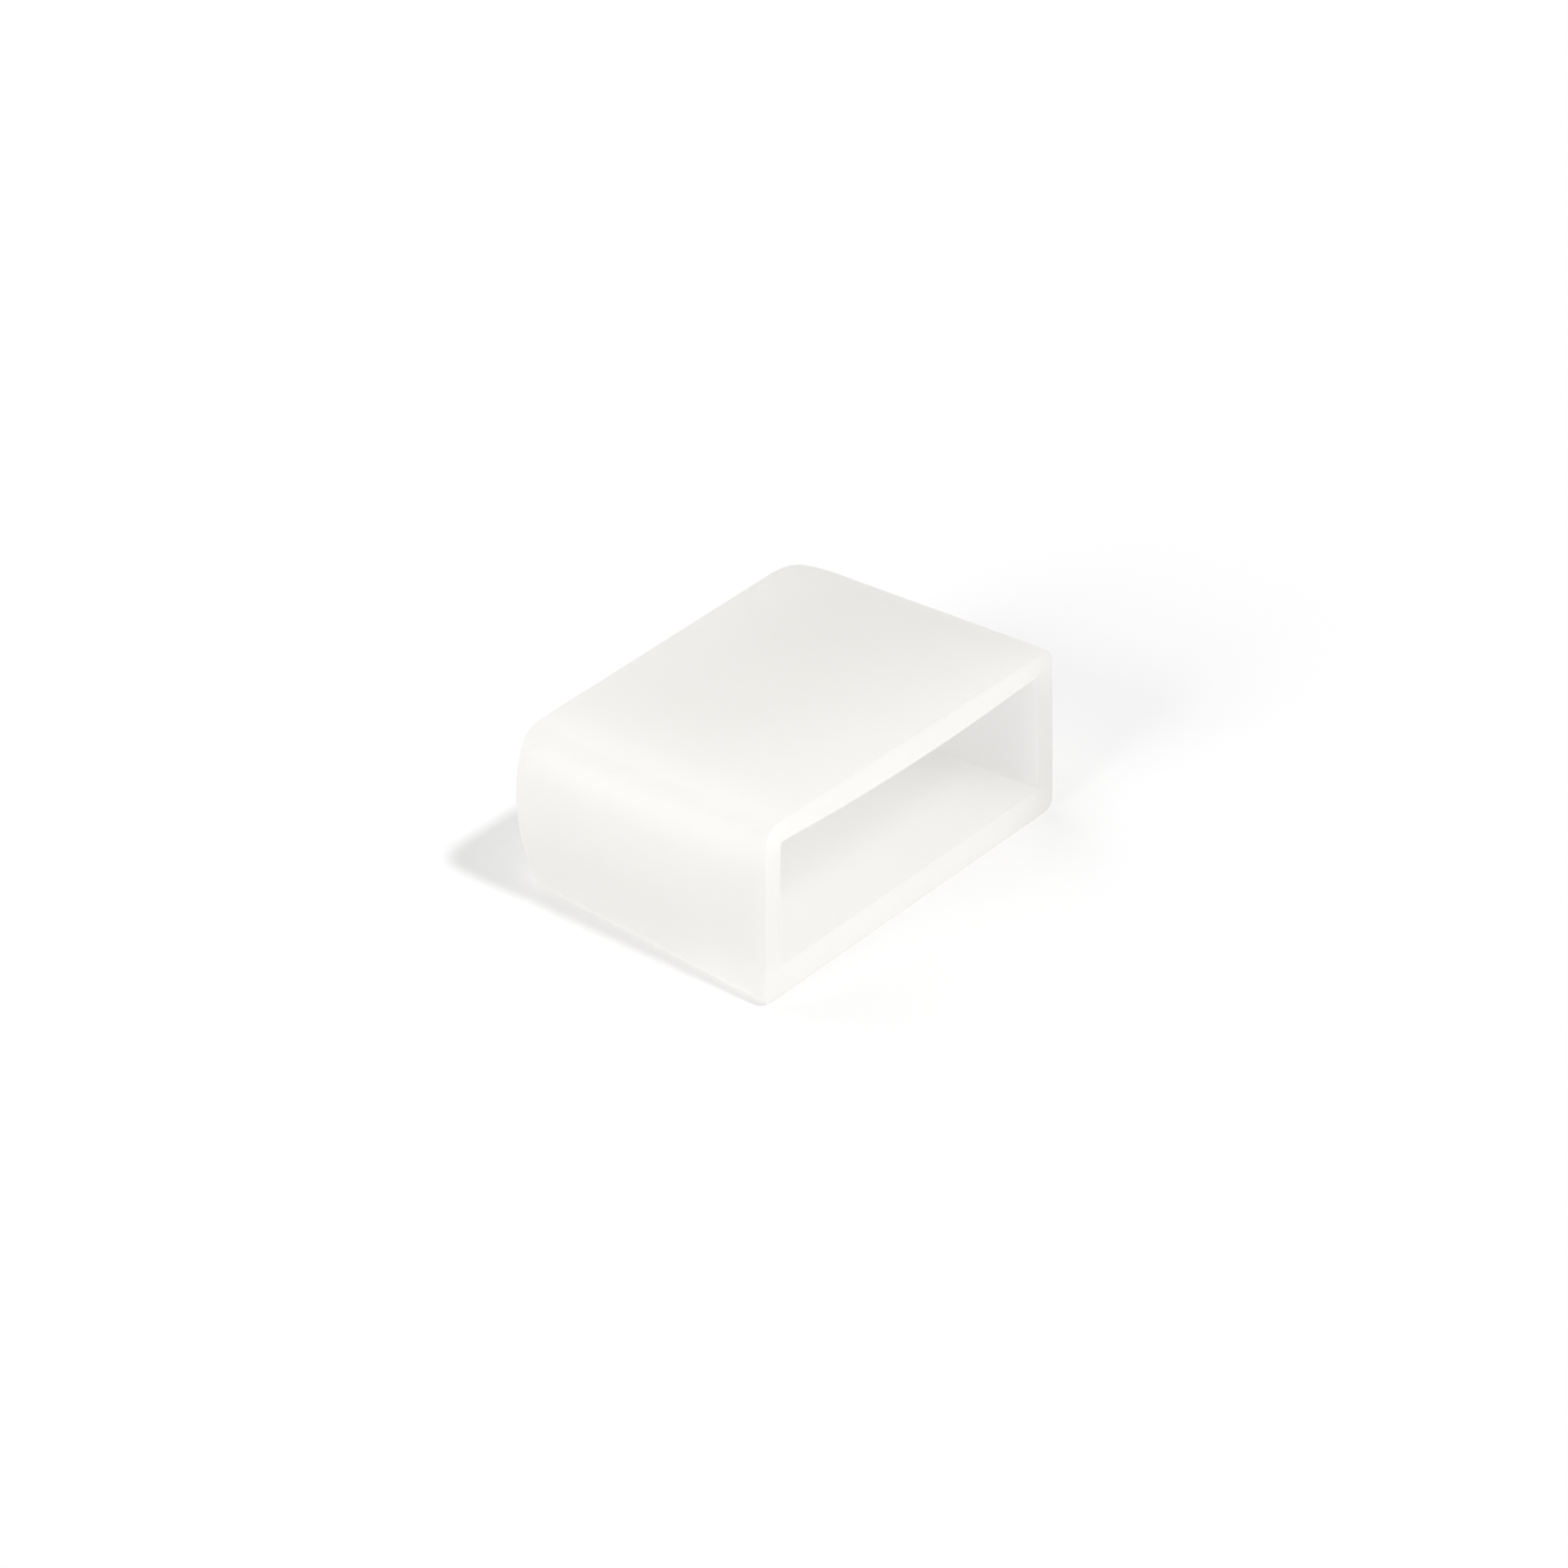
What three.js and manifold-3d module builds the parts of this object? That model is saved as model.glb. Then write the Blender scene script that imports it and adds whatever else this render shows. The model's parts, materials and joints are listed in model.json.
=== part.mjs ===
// Closed end cap for the sleeve of a flexible light strip, moulded in one piece from soft translucent silicone.
// Units are millimetres. +Z is up, the open mouth faces -Y and the domed closed end faces +Y.
// The origin is the centre of the outer box, at the level of the underside.

import * as THREE from 'three';
import { ConvexGeometry } from 'three/addons/geometries/ConvexGeometry.js';
import { mergeVertices } from 'three/addons/utils/BufferGeometryUtils.js';
import Module from 'manifold-3d';

// Outer size
const WIDTH = 16.2; // across the mouth, along X
const DEPTH = 12.2; // from the mouth to the crown of the closed end, along Y
const HEIGHT = 6.5; // from the underside to the top, along Z

// Wall thickness
const SIDE_WALL = 0.87;
const TOP_WALL = 0.85;
const BOTTOM_WALL = 1.23; // the underside is the thickest wall
const END_WALL = 1.8; // from the socket's inner end to the crown of the closed end

// Mould draft: the outside and the core both get narrower towards the closed end
const OUTER_NARROWING = 0.7;
const SOCKET_NARROWING = 0.5;

// Rounding
const LONG_EDGE_RADIUS = 0.4; // the edges that run back from the mouth, where they meet it
const END_CORNER_RADIUS = 1.3; // the closed end's upright corners, seen from above
const END_EDGE_RADIUS = 0.75; // the closed end's upper and lower edges, seen from the side
const CROWN_RISE = 0.55; // how far the middle of the closed end stands beyond those two edges
const SOCKET_RADIUS = 0.4; // all inside corners of the socket

const CURVE_STEPS = 7; // steps in each quarter round
const CROWN_STEPS = 12; // steps from the lower to the upper edge of a domed end
const OVERCUT = 2; // how far the socket's core runs out of the mouth

const MOUTH = -DEPTH / 2;
const CROWN = DEPTH / 2;

const wasm = await Module();
wasm.setup();

// Numbers from `low` to `high` in even steps, both ends included.
function spread(low, high, steps) {
  return Array.from({ length: steps + 1 }, (_, i) => low + ((high - low) * i) / steps);
}

const QUARTER_ROUND = spread(0, Math.PI / 2, CURVE_STEPS);
const SIGNS = [-1, 1];

// The rounded rectangle at the open end of a body, as points: one quarter round in each corner.
function openEndPoints({ halfWidth, y, low, high, radius }) {
  const middle = (low + high) / 2;
  const centreX = halfWidth - radius;
  const centreZ = (high - low) / 2 - radius;
  return SIGNS.flatMap((side) => SIGNS.flatMap((up) => QUARTER_ROUND.map((angle) => new THREE.Vector3(
    side * (centreX + radius * Math.cos(angle)),
    y,
    middle + up * (centreZ + radius * Math.sin(angle)),
  ))));
}

// The closed end of a body, as points. Each upright corner is a quarter round seen from above, repeated
// level by level along a shallow bow, and each ends in a quarter round over the upper and the lower edge.
function closedEndPoints({ halfWidth, y, low, high, cornerRadius, edgeRadius, rise }) {
  const middle = (low + high) / 2;
  const halfSpan = (high - low) / 2 - edgeRadius;
  const points = [];
  const addCorners = (bow, reach, z) => {
    for (const side of SIGNS) {
      for (const angle of QUARTER_ROUND) {
        const round = cornerRadius - edgeRadius + reach;
        const x = halfWidth - cornerRadius + round * Math.sin(angle);
        points.push(new THREE.Vector3(side * x, y - cornerRadius - bow + round * Math.cos(angle), z));
      }
    }
  };
  for (const u of spread(-1, 1, CROWN_STEPS)) {
    addCorners(rise * u * u, edgeRadius, middle + u * halfSpan);
  }
  for (const up of SIGNS) {
    for (const angle of QUARTER_ROUND.slice(1)) {
      const z = middle + up * (halfSpan + edgeRadius * Math.sin(angle));
      addCorners(rise, edgeRadius * Math.cos(angle), z);
    }
  }
  return points;
}

// Makes a manifold solid from a closed geometry, once only positions are left and shared vertices are merged.
function toSolid(geometry) {
  const bare = geometry.clone();
  bare.deleteAttribute('normal');
  bare.deleteAttribute('uv');
  const merged = mergeVertices(bare);
  return new wasm.Manifold(new wasm.Mesh({
    numProp: 3,
    vertProperties: merged.attributes.position.array,
    triVerts: new Uint32Array(merged.index.array),
  }));
}

function toGeometry(solid) {
  const mesh = solid.getMesh();
  const geometry = new THREE.BufferGeometry();
  geometry.setAttribute('position', new THREE.BufferAttribute(mesh.vertProperties, mesh.numProp));
  geometry.setIndex(new THREE.BufferAttribute(mesh.triVerts, 1));
  geometry.computeVertexNormals();
  return geometry;
}

// The outside: convex all over, from the flat mouth to the domed end.
function outerBody() {
  return new ConvexGeometry([
    ...openEndPoints({ halfWidth: WIDTH / 2, y: MOUTH, low: 0, high: HEIGHT, radius: LONG_EDGE_RADIUS }),
    ...closedEndPoints({
      halfWidth: (WIDTH - OUTER_NARROWING) / 2,
      y: CROWN,
      low: 0,
      high: HEIGHT,
      cornerRadius: END_CORNER_RADIUS,
      edgeRadius: END_EDGE_RADIUS,
      rise: CROWN_RISE,
    }),
  ]);
}

// The core that leaves the socket: a blind pocket for the end of the strip's sleeve, with a flat inner end.
function socketCore() {
  const low = BOTTOM_WALL;
  const high = HEIGHT - TOP_WALL;
  const innerEnd = CROWN - END_WALL;
  const mouthHalfWidth = WIDTH / 2 - SIDE_WALL;
  const widening = (SOCKET_NARROWING / 2) * (OVERCUT / (innerEnd - MOUTH));
  return new ConvexGeometry([
    ...openEndPoints({
      halfWidth: mouthHalfWidth + widening,
      y: MOUTH - OVERCUT,
      low,
      high,
      radius: SOCKET_RADIUS,
    }),
    ...closedEndPoints({
      halfWidth: mouthHalfWidth - SOCKET_NARROWING / 2,
      y: innerEnd,
      low,
      high,
      cornerRadius: SOCKET_RADIUS,
      edgeRadius: SOCKET_RADIUS,
      rise: 0,
    }),
  ]);
}

function endCap() {
  const silicone = new THREE.MeshStandardMaterial({ color: 0xecebe5, roughness: 0.5, metalness: 0 });
  const solid = toSolid(outerBody()).subtract(toSolid(socketCore()));
  const mesh = new THREE.Mesh(toGeometry(solid), silicone);
  mesh.name = 'end_cap';
  return mesh;
}

const group = new THREE.Group();
group.add(endCap());

export default group;
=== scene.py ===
# %% [markdown]
# # A silicone end cap for a light strip
#
# This lesson makes one small part: the cap that closes the cut end of a flexible light strip's sleeve.
# The real one is moulded in a single shot of soft, milky silicone, so it has no joints and no other pieces.
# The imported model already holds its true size. Here it gets its soft shape, its material and its light.

# %% Load the fixed frame
import json
import math

import bmesh
import bpy
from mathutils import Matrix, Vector


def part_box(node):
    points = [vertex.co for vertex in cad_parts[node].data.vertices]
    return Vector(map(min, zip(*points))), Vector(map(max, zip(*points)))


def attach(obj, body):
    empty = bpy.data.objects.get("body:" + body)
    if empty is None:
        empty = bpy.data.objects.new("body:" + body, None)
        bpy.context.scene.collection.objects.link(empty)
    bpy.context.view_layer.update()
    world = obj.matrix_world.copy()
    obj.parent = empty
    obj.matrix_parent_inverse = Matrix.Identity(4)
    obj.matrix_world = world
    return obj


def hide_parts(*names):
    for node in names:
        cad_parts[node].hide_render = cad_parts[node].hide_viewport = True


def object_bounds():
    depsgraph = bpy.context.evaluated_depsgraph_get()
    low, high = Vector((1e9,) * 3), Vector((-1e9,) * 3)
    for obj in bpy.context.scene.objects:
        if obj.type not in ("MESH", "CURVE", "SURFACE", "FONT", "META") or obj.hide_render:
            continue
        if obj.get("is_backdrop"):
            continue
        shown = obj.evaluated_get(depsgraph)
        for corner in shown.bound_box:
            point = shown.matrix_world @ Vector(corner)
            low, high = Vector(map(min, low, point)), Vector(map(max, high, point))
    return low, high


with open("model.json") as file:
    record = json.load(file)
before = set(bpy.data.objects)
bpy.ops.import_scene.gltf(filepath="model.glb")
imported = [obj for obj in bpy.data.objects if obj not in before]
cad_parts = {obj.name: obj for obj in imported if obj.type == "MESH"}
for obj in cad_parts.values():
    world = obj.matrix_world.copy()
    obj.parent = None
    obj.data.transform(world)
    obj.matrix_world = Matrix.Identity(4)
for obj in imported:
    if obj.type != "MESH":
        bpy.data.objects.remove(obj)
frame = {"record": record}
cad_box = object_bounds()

MM = 0.001

low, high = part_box("end_cap")
middle = (low + high) / 2
size = high - low
print("end cap:", [round(side / MM, 2) for side in size], "mm")

# %% [markdown]
# ## Working by hand, in code
#
# In the window you click faces and edges. In a script you pick them by where they are or which way they face.
# One helper does that in edit mode, for vertices, edges or faces, and another runs a modifier and keeps its
# result. A place counts as "near" another within a fiftieth of a millimetre, far less than any wall.

# %% Helpers for picking and for modifiers
SELECT_MODES = {"verts": "VERT", "edges": "EDGE", "faces": "FACE"}
NEAR = 0.02 * MM


def near(value, target, reach=NEAR):
    return abs(value - target) < reach


def pick(kind, test):
    bpy.ops.mesh.select_mode(type=SELECT_MODES[kind])
    bpy.ops.mesh.select_all(action="DESELECT")
    mesh = bpy.context.object.data
    cage = bmesh.from_edit_mesh(mesh)
    picked = [part for part in getattr(cage, kind) if test(part)]
    for part in picked:
        part.select_set(True)
    cage.select_flush_mode()
    bmesh.update_edit_mesh(mesh)
    return len(picked)


def apply_modifier(piece, kind, **settings):
    modifier = piece.modifiers.new(kind.title(), kind)
    for name, value in settings.items():
        setattr(modifier, name, value)
    bpy.ops.object.modifier_apply(modifier=modifier.name)
    print(kind.lower(), "left", len(piece.data.polygons), "faces")


# %% [markdown]
# ## The walls and the socket
#
# The cap is a thick-walled sleeve with one end closed. We start from a cube of the cap's outer size.
# The mouth faces -Y. An inset there draws the rim, and an extrude pushes the inset face in for the socket.
# The mount faces in the record say where the socket's floor and its inner end are. Both the outside and the
# socket get narrower towards the closed end, as a moulding must, or it would not come out of its mould.

# %% Wall sizes
mounts = {mount["name"]: Vector(mount["pos_m"]) for mount in frame["record"]["mounts"]}
SOCKET_FLOOR = mounts["socket_floor"].z
SOCKET_END = mounts["socket_end"].y
SIDE_WALL = 0.87 * MM
TOP_WALL = 0.85 * MM
OUTER_NARROWING = 0.7 * MM
SOCKET_NARROWING = 0.5 * MM

socket_ceiling = high.z - TOP_WALL
mouth_width = size.x - 2 * SIDE_WALL
print("the mouth is", round(mouth_width / MM, 2), "by", round((socket_ceiling - SOCKET_FLOOR) / MM, 2), "mm")

# %% A cube of the outer size
bpy.ops.object.select_all(action="DESELECT")
bpy.ops.mesh.primitive_cube_add(size=1, location=middle)
cap = bpy.context.object
cap.name = "silicone_end_cap"
cap.dimensions = size
bpy.ops.object.transform_apply(location=True, rotation=False, scale=True)
bpy.ops.object.mode_set(mode="EDIT")
print("the cube has", len(cap.data.vertices), "corners")

# %% Inset the rim, then level its lower and upper walls
# A face looks along an axis when that much of its normal does.
FACING = 0.9


def on_rim(v, half):
    return abs(v.co.x) < high.x - SIDE_WALL / 2 and half * (v.co.z - middle.z) > 0


pick("faces", lambda face: face.normal.y < -FACING)
bpy.ops.mesh.inset(thickness=SIDE_WALL)
pick("verts", lambda v: on_rim(v, -1))
bpy.ops.transform.translate(value=(0, 0, SOCKET_FLOOR - SIDE_WALL))
pick("verts", lambda v: on_rim(v, 1))
bpy.ops.transform.translate(value=(0, 0, SIDE_WALL - TOP_WALL))
print("walls at the rim:", [round(wall / MM, 2) for wall in (SIDE_WALL, SOCKET_FLOOR, TOP_WALL)], "mm")


# %% Push the socket in, and draw both closed ends together
def is_mouth(face):
    centre = face.calc_center_median()
    in_the_middle = near(centre.x, 0) and near(centre.z, (SOCKET_FLOOR + socket_ceiling) / 2)
    return face.normal.y < -FACING and in_the_middle


print("faces to push in:", pick("faces", is_mouth))
bpy.ops.mesh.extrude_region_move(TRANSFORM_OT_translate={"value": (0, SOCKET_END - low.y, 0)})
bpy.ops.transform.resize(value=(1 - SOCKET_NARROWING / mouth_width, 1, 1), center_override=middle)
pick("faces", lambda face: face.normal.y > FACING)
bpy.ops.transform.resize(value=(1 - OUTER_NARROWING / size.x, 1, 1), center_override=middle)
print("the socket is", round((SOCKET_END - low.y) / MM, 2), "mm deep")

# %% [markdown]
# ## A grid of cells to bend
#
# Soft silicone is never quite flat, so every wall needs cells that can move. Loop cuts need a window,
# but a bisect along a flat plane does the same job: it runs a new edge all the way round the cage.
# Every cut stays clear of the corners, so that each corner keeps room for its rounding.

# %% Cut the walls into cells of 0.8 to 1.5 millimetres
CELLS = {"across": 8, "along": 6, "up": 4}
ROOM_AT_SIDES = 2.1 * MM
ROOM_AT_MOUTH = 0.7 * MM
ROOM_AT_CLOSED_END = 3.1 * MM
ROOM_IN_SOCKET = 0.52 * MM


def cut(axis, place):
    bpy.ops.mesh.select_all(action="SELECT")
    direction = [0, 0, 0]
    direction[axis] = 1
    spot = list(middle)
    spot[axis] = place
    bpy.ops.mesh.bisect(plane_co=spot, plane_no=direction)


def spread(start, stop, steps):
    return [start + (stop - start) * step / steps for step in range(steps + 1)]


for place in spread(low.x + ROOM_AT_SIDES, high.x - ROOM_AT_SIDES, CELLS["across"]):
    cut(0, place)
for place in spread(low.y + ROOM_AT_MOUTH, high.y - ROOM_AT_CLOSED_END, CELLS["along"]):
    cut(1, place)
for place in spread(SOCKET_FLOOR + ROOM_IN_SOCKET, socket_ceiling - ROOM_IN_SOCKET, CELLS["up"]):
    cut(2, place)
print("the cage has", len(bmesh.from_edit_mesh(cap.data).faces), "cells")

# %% [markdown]
# ## A ceiling that hangs a little
#
# The top wall is the thinnest, and its inside bows down in the middle of the mouth. Everything but the
# ceiling is hidden, so that proportional editing can move the middle and let the rest follow. The inverse
# square falloff gives a parabola, which is how a thin soft wall hangs between two sides.

# %% Let the socket's ceiling hang
CEILING_SAG = 0.27 * MM


def is_middle_of_mouth(v):
    return near(v.co.x, 0) and near(v.co.y, low.y) and not v.hide


pick("verts", lambda v: near(v.co.z, socket_ceiling))
bpy.ops.mesh.hide(unselected=True)
print("points to pull down:", pick("verts", is_middle_of_mouth))
bpy.ops.transform.translate(
    value=(0, 0, -CEILING_SAG), use_proportional_edit=True,
    proportional_edit_falloff="INVERSE_SQUARE", proportional_size=mouth_width / 2,
)
bpy.ops.mesh.reveal(select=False)

# %% [markdown]
# ## The domed end
#
# Seen from the side, the closed end bows out in the middle of its height. Each row of the end's cells
# moves back towards the mouth by its own amount, which grows with the square of its distance from the middle.

# %% Bow the closed end, row by row
CROWN_RISE = 0.45 * MM
BOW_HALF_SPAN = 2.5 * MM
# Heights are rounded to a tenth of a micron, so that a row counts once.
ROW_DIGITS = 7

cage = bmesh.from_edit_mesh(cap.data)
rows = sorted({round(v.co.z, ROW_DIGITS) for v in cage.verts if near(v.co.y, high.y)})
for row in rows:
    pick("verts", lambda v: near(v.co.y, high.y) and near(v.co.z, row))
    bow = CROWN_RISE * ((row - middle.z) / BOW_HALF_SPAN) ** 2
    bpy.ops.transform.translate(value=(0, -bow, 0))
print("the closed end has", len(rows), "rows")

# %% [markdown]
# ## Rounding
#
# The mould has rounded corners everywhere: large ones at the closed end, middling ones along the body
# and in the socket, and almost none at the rim, where the two halves of the mould met.
# The upright corners are bevelled first, so that the upper and lower edges can then follow round them.

# %% Round the closed end's upright corners
END_CORNER_RADIUS = 1.2 * MM
END_CORNER_REACH = Vector((0.5, 1.6, 0)) * MM


def is_upright_corner(edge):
    reach = high - END_CORNER_REACH
    return all(abs(v.co.x) > reach.x and v.co.y > reach.y for v in edge.verts)


print("upright edges:", pick("edges", is_upright_corner))
bpy.ops.mesh.bevel(offset=END_CORNER_RADIUS, segments=4, profile=0.5, affect="EDGES")
bpy.ops.object.mode_set(mode="OBJECT")

# %% [markdown]
# ### Radii that change along an edge
#
# The long edges start small at the mouth and grow towards the closed end, and the socket's corners do too.
# A bevel weight on each edge says how much of the widest radius it gets, and one bevel modifier reads them.

# %% The radius of each outer edge
MOUTH_EDGE_RADIUS = 0.45 * MM
END_EDGE_RADIUS = {low.z: 0.6 * MM, high.z: 0.85 * MM}
# Two faces meet at a corner when the product of their normals is under this.
SHARP_OUTSIDE = 0.6


def outer_edge_radius(edge):
    a, b = edge.verts
    one, other = edge.link_faces
    on_the_mouth = near(a.co.y, low.y) and near(b.co.y, low.y)
    if on_the_mouth or abs(one.normal.dot(other.normal)) >= SHARP_OUTSIDE:
        return 0
    along = ((a.co.y + b.co.y) / 2 - low.y) / size.y
    for level, end_radius in END_EDGE_RADIUS.items():
        if near(a.co.z, level) and near(b.co.z, level):
            return MOUTH_EDGE_RADIUS + (end_radius - MOUTH_EDGE_RADIUS) * along
    return 0


# %% The radius of each edge in the socket
SOCKET_RADIUS = {low.y: 0.12 * MM, SOCKET_END: 0.45 * MM}
SHARP_INSIDE = 0.5
SOCKET_SIDE = high.x - 0.6 * MM
SLACK = 0.01 * MM


def is_in_socket(v):
    across = abs(v.co.x) < SOCKET_SIDE
    along = v.co.y <= SOCKET_END + SLACK
    return across and along and SOCKET_FLOOR - SLACK < v.co.z < socket_ceiling + SLACK


def socket_edge_radius(edge):
    centre = (edge.verts[0].co + edge.verts[1].co) / 2
    one, other = edge.link_faces
    if not all(is_in_socket(v) for v in edge.verts) or near(centre.y, low.y):
        return 0
    if abs(one.normal.dot(other.normal)) > SHARP_INSIDE:
        return 0
    along = (centre.y - low.y) / (SOCKET_END - low.y)
    return SOCKET_RADIUS[low.y] + (SOCKET_RADIUS[SOCKET_END] - SOCKET_RADIUS[low.y]) * along


# %% Weigh the edges and bevel them
WIDEST = 1.0 * MM

cage = bmesh.new()
cage.from_mesh(cap.data)
weights = cage.edges.layers.float.new("bevel_weight_edge")
for edge in cage.edges:
    edge[weights] = (outer_edge_radius(edge) or socket_edge_radius(edge)) / WIDEST
print(sum(edge[weights] > 0 for edge in cage.edges), "edges get a radius")
cage.to_mesh(cap.data)
cage.free()
apply_modifier(cap, "BEVEL", limit_method="WEIGHT", width=WIDEST, segments=3, profile=0.5,
               use_clamp_overlap=False)

# %% Soften the rim's own edges
RIM_RADIUS = 0.12 * MM
RIM_FLATNESS = 0.001 * MM
# A wall leaves the rim when less than this of its normal looks along the sleeve.
WALL_FACING = 0.5


def is_rim_edge(edge):
    in_the_rim = all(near(v.co.y, low.y, RIM_FLATNESS) for v in edge.verts)
    return in_the_rim and any(abs(face.normal.y) < WALL_FACING for face in edge.link_faces)


bpy.ops.object.mode_set(mode="EDIT")
print("rim edges:", pick("edges", is_rim_edge))
bpy.ops.mesh.bevel(offset=RIM_RADIUS, segments=2, profile=0.5, affect="EDGES")
bpy.ops.object.mode_set(mode="OBJECT")

# %% [markdown]
# ## Not quite square
#
# A soft cap leans and splays by up to half a millimetre. A lattice with a point at each corner of the
# cap's box carries that: each point moves by its own small amount, and the whole cap follows.

# %% How far the soft walls lean
# At the mouth, the left wall splays at its foot and both walls pinch in at the top.
LEFT_FOOT_SPLAY = 0.30 * MM
RIGHT_FOOT_TUCK = 0.15 * MM
LEFT_PINCH = 0.15 * MM
RIGHT_PINCH = 0.30 * MM
# The rim's top leans back, more on the left, where it also lifts a little.
LEFT_RIM_LEAN = 0.25 * MM
RIGHT_RIM_LEAN = 0.15 * MM
LEFT_RIM_LIFT = 0.05 * MM
# At the closed end, the left wall tucks in at its foot, and the top leans forward on the left only.
LEFT_FOOT_TUCK = 0.40 * MM
LEFT_TOP_SPREAD = 0.10 * MM
LEFT_END_LEAN = 0.50 * MM
RIGHT_END_LIFT = 0.10 * MM

shifts = {
    ("left", "mouth", "bottom"): (-LEFT_FOOT_SPLAY, 0, 0),
    ("right", "mouth", "bottom"): (-RIGHT_FOOT_TUCK, 0, 0),
    ("left", "mouth", "top"): (LEFT_PINCH, LEFT_RIM_LEAN, LEFT_RIM_LIFT),
    ("right", "mouth", "top"): (-RIGHT_PINCH, RIGHT_RIM_LEAN, 0),
    ("left", "closed end", "bottom"): (LEFT_FOOT_TUCK, 0, 0),
    ("right", "closed end", "bottom"): (0, 0, 0),
    ("left", "closed end", "top"): (-LEFT_TOP_SPREAD, -LEFT_END_LEAN, 0),
    ("right", "closed end", "top"): (0, 0, RIGHT_END_LIFT),
}
furthest = max(Vector(shift).length for shift in shifts.values())
print("the furthest corner moves", round(furthest / MM, 2), "mm")

# %% Lean the corners with a lattice
bpy.ops.object.add(type="LATTICE", location=middle)
lattice = bpy.context.object
lattice.scale = size
for axis in "uvw":
    setattr(lattice.data, "points_" + axis, 2)
    setattr(lattice.data, "interpolation_type_" + axis, "KEY_LINEAR")
for point in lattice.data.points:
    corner = (
        "right" if point.co.x > 0 else "left",
        "closed end" if point.co.y > 0 else "mouth",
        "top" if point.co.z > 0 else "bottom",
    )
    point.co_deform = [place + move / side for place, move, side in zip(point.co, shifts[corner], size)]
bpy.ops.object.select_all(action="DESELECT")
bpy.context.view_layer.objects.active = cap
cap.select_set(True)
apply_modifier(cap, "LATTICE", object=lattice)
bpy.data.objects.remove(lattice)

# %% Smooth it all
SMOOTHING = 2
apply_modifier(cap, "SUBSURF", levels=SMOOTHING, render_levels=SMOOTHING)
bpy.ops.object.shade_smooth()

# %% [markdown]
# ## Silicone
#
# Milky silicone rubber, injection moulded. Light goes into it, is scattered, and comes out everywhere:
# thin walls glow, no face is dark and shadows are soft. Two shaders share the work. A small part is a
# scattering surface with the soft sheen of the skin. The rest is translucent, and passes light right on
# through the wall, as this clear a silicone does.
# The satin skin's real grain is too fine to show at this size, so it is drawn at a quarter of a millimetre.
# The tint and the sheen also drift a little, in clouds a few millimetres wide, as they do in soft rubber.


# %% A colour helper and a node helper
def linear(hex_code):
    channels = [int(hex_code[i:i + 2], 16) / 255 for i in (1, 3, 5)]
    return [c / 12.92 if c <= 0.04045 else ((c + 0.055) / 1.055) ** 2.4 for c in channels] + [1]


def add_node(tree, kind, settings=None, inputs=None, links=None):
    node = tree.nodes.new(kind)
    for name, value in (settings or {}).items():
        setattr(node, name, value)
    for name, value in (inputs or {}).items():
        node.inputs[name].default_value = value
    for name, source in (links or {}).items():
        tree.links.new(source, node.inputs[name])
    return node


# %% Moulded silicone
SILICONE_IOR = 1.41
SCATTER = 1 * MM
# Red and green travel the whole distance, and blue a little less, which warms the thick places.
SCATTER_BY_COLOUR = (1.0, 1.0, 0.9)
THROUGH_SHARE = 0.92
CLOUD_SIZE = 4 * MM
GRAIN_SIZE = 0.25 * MM
GRAIN_DEPTH = 0.02 * MM


def moulded_silicone():
    # The eye sees a warm milky white, satin rather than glossy, with no hard shade anywhere.
    material = bpy.data.materials.new("moulded_silicone")
    material.use_nodes = True
    tree = material.node_tree
    tree.nodes.clear()
    place = add_node(tree, "ShaderNodeTexCoord").outputs["Object"]
    cloud = add_node(tree, "ShaderNodeTexNoise", inputs={"Scale": 1 / CLOUD_SIZE, "Detail": 3.0},
                     links={"Vector": place})
    tint = add_node(tree, "ShaderNodeMix", {"data_type": "RGBA"},
                    inputs={6: linear("#FEFEFD"), 7: linear("#FDFCFB")}, links={0: cloud.outputs["Fac"]})
    grain = add_node(tree, "ShaderNodeTexNoise", inputs={"Scale": 1 / GRAIN_SIZE, "Detail": 4.0},
                     links={"Vector": place})
    bump = add_node(tree, "ShaderNodeBump", inputs={"Strength": 0.25, "Distance": GRAIN_DEPTH},
                    links={"Height": grain.outputs["Fac"]})
    gloss = add_node(tree, "ShaderNodeMapRange", inputs={"To Min": 0.42, "To Max": 0.55},
                     links={"Value": cloud.outputs["Fac"]})
    skin = add_node(
        tree, "ShaderNodeBsdfPrincipled",
        inputs={"IOR": SILICONE_IOR, "Subsurface Weight": 1.0, "Subsurface Scale": SCATTER,
                "Subsurface Radius": SCATTER_BY_COLOUR},
        links={"Base Color": tint.outputs[2], "Roughness": gloss.outputs["Result"],
               "Normal": bump.outputs["Normal"]},
    )
    glow = add_node(tree, "ShaderNodeBsdfTranslucent", links={"Color": tint.outputs[2]})
    both = add_node(tree, "ShaderNodeMixShader", inputs={"Fac": THROUGH_SHARE},
                    links={1: skin.outputs["BSDF"], 2: glow.outputs["BSDF"]})
    add_node(tree, "ShaderNodeOutputMaterial", links={"Surface": both.outputs["Shader"]})
    return material


cap.data.materials.append(moulded_silicone())
print("the silicone uses", len(cap.data.materials[0].node_tree.nodes), "nodes")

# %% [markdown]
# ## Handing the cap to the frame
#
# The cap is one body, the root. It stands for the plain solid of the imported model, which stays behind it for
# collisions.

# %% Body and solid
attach(cap, "root")
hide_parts("end_cap")
print(cap.name, "stands for end_cap on the root body")

# %% [markdown]
# ## The table and the light
#
# A white card under the cap and a bright, even room keep everything pale, as in a light tent. A small key
# light from high in front throws the soft shadow behind the cap. Two wide ones, from the left and from
# behind, fill the sides, so that the walls pass light from every direction.


# %% A matt card to stand on
CARD_SIDE = 3.0


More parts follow.
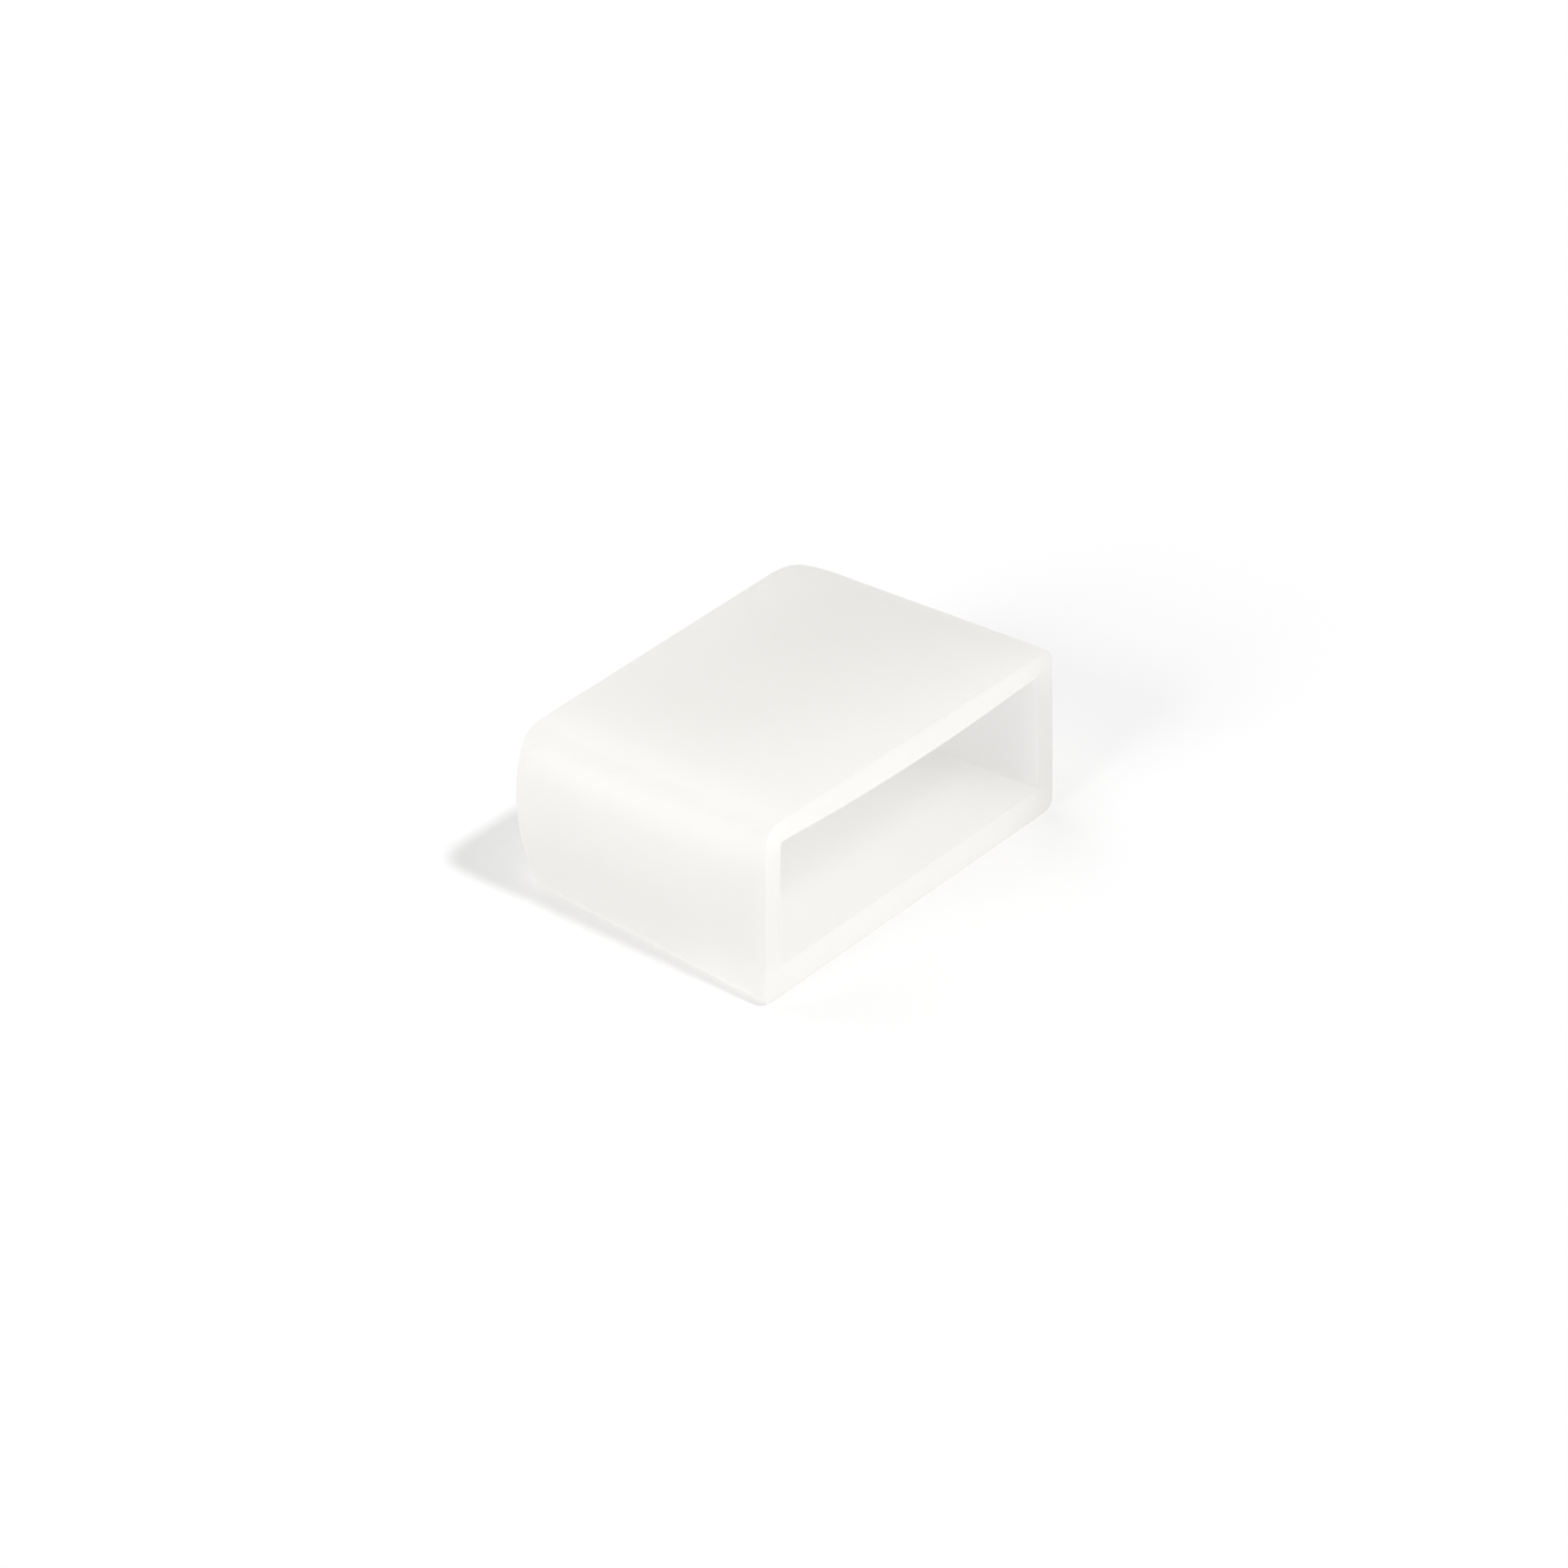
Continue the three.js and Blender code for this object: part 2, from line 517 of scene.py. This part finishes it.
def matt_card():
    # The eye sees nothing but white, with no sheen: uncoated card.
    material = bpy.data.materials.new("matt_card")
    material.use_nodes = True
    shader = material.node_tree.nodes["Principled BSDF"]
    shader.inputs["Base Color"].default_value = linear("#F4F4F4")
    shader.inputs["Roughness"].default_value = 0.9
    shader.inputs["Specular IOR Level"].default_value = 0.0
    return material


bpy.ops.mesh.primitive_plane_add(size=CARD_SIDE, location=(0, 0, 0))
floor = bpy.context.object
floor.name = "floor"
floor.data.materials.append(matt_card())
floor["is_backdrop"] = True
print("the card is", CARD_SIDE, "m square")

# %% A white room
ROOM_STRENGTH = 0.485

world = bpy.data.worlds.new("white_room")
bpy.context.scene.world = world
world.use_nodes = True
background = world.node_tree.nodes["Background"]
background.inputs["Color"].default_value = (1, 1, 1, 1)
background.inputs["Strength"].default_value = ROOM_STRENGTH
print("the room's light is", ROOM_STRENGTH)

# %% Three lights
LAMP_HEIGHT = 0.3


def towards(azimuth, elevation):
    a = math.radians(azimuth)
    e = math.radians(elevation)
    return Vector((math.sin(a) * math.cos(e), -math.cos(a) * math.cos(e), math.sin(e)))


def add_sun(name, azimuth, elevation, strength, angle):
    bpy.ops.object.light_add(type="SUN", location=(0, 0, LAMP_HEIGHT))
    sun = bpy.context.object
    sun.name = name
    sun.rotation_mode = "QUATERNION"
    sun.rotation_quaternion = towards(azimuth, elevation).to_track_quat("Z", "Y")
    sun.data.energy = strength
    sun.data.angle = math.radians(angle)
    print(name, "stands", elevation, "degrees up and is", angle, "degrees wide")


add_sun("key", azimuth=5.5, elevation=59, strength=1.18, angle=7)
add_sun("left fill", azimuth=-93, elevation=26, strength=0.93, angle=24)
add_sun("back fill", azimuth=180, elevation=52, strength=0.68, angle=50)

# %% [markdown]
# ## The camera
#
# A long lens from about 150 mm away, above the left front corner, so that one look takes in the top, the left
# side, the mouth and some of the socket. The plain view transform keeps whites white.

# %% Place the camera
CAMERA_AZIMUTH = -51.70
CAMERA_ELEVATION = 30.56
CAMERA_DISTANCE = 148.47 * MM
AIM = middle + Vector((-0.35, -0.59, -0.46)) * MM

line_of_sight = towards(CAMERA_AZIMUTH, CAMERA_ELEVATION)
bpy.ops.object.camera_add(location=AIM + line_of_sight * CAMERA_DISTANCE)
camera = bpy.context.object
camera.rotation_mode = "QUATERNION"
camera.rotation_quaternion = line_of_sight.to_track_quat("Z", "Y")
camera.data.lens = 100
camera.data.sensor_width = 36
camera.data.clip_start = 0.01
camera.data.clip_end = 10
bpy.context.scene.camera = camera
bpy.context.scene.view_settings.view_transform = "Standard"
print("the camera is", round((camera.location - middle).length / MM, 1), "mm from the cap's middle")

# %% Measure and hand over
new_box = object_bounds()
boxes = {"cad": cad_box, "visual": new_box}
for name, box in boxes.items():
    print(name, [[round(c / MM, 3) for c in corner] for corner in box])
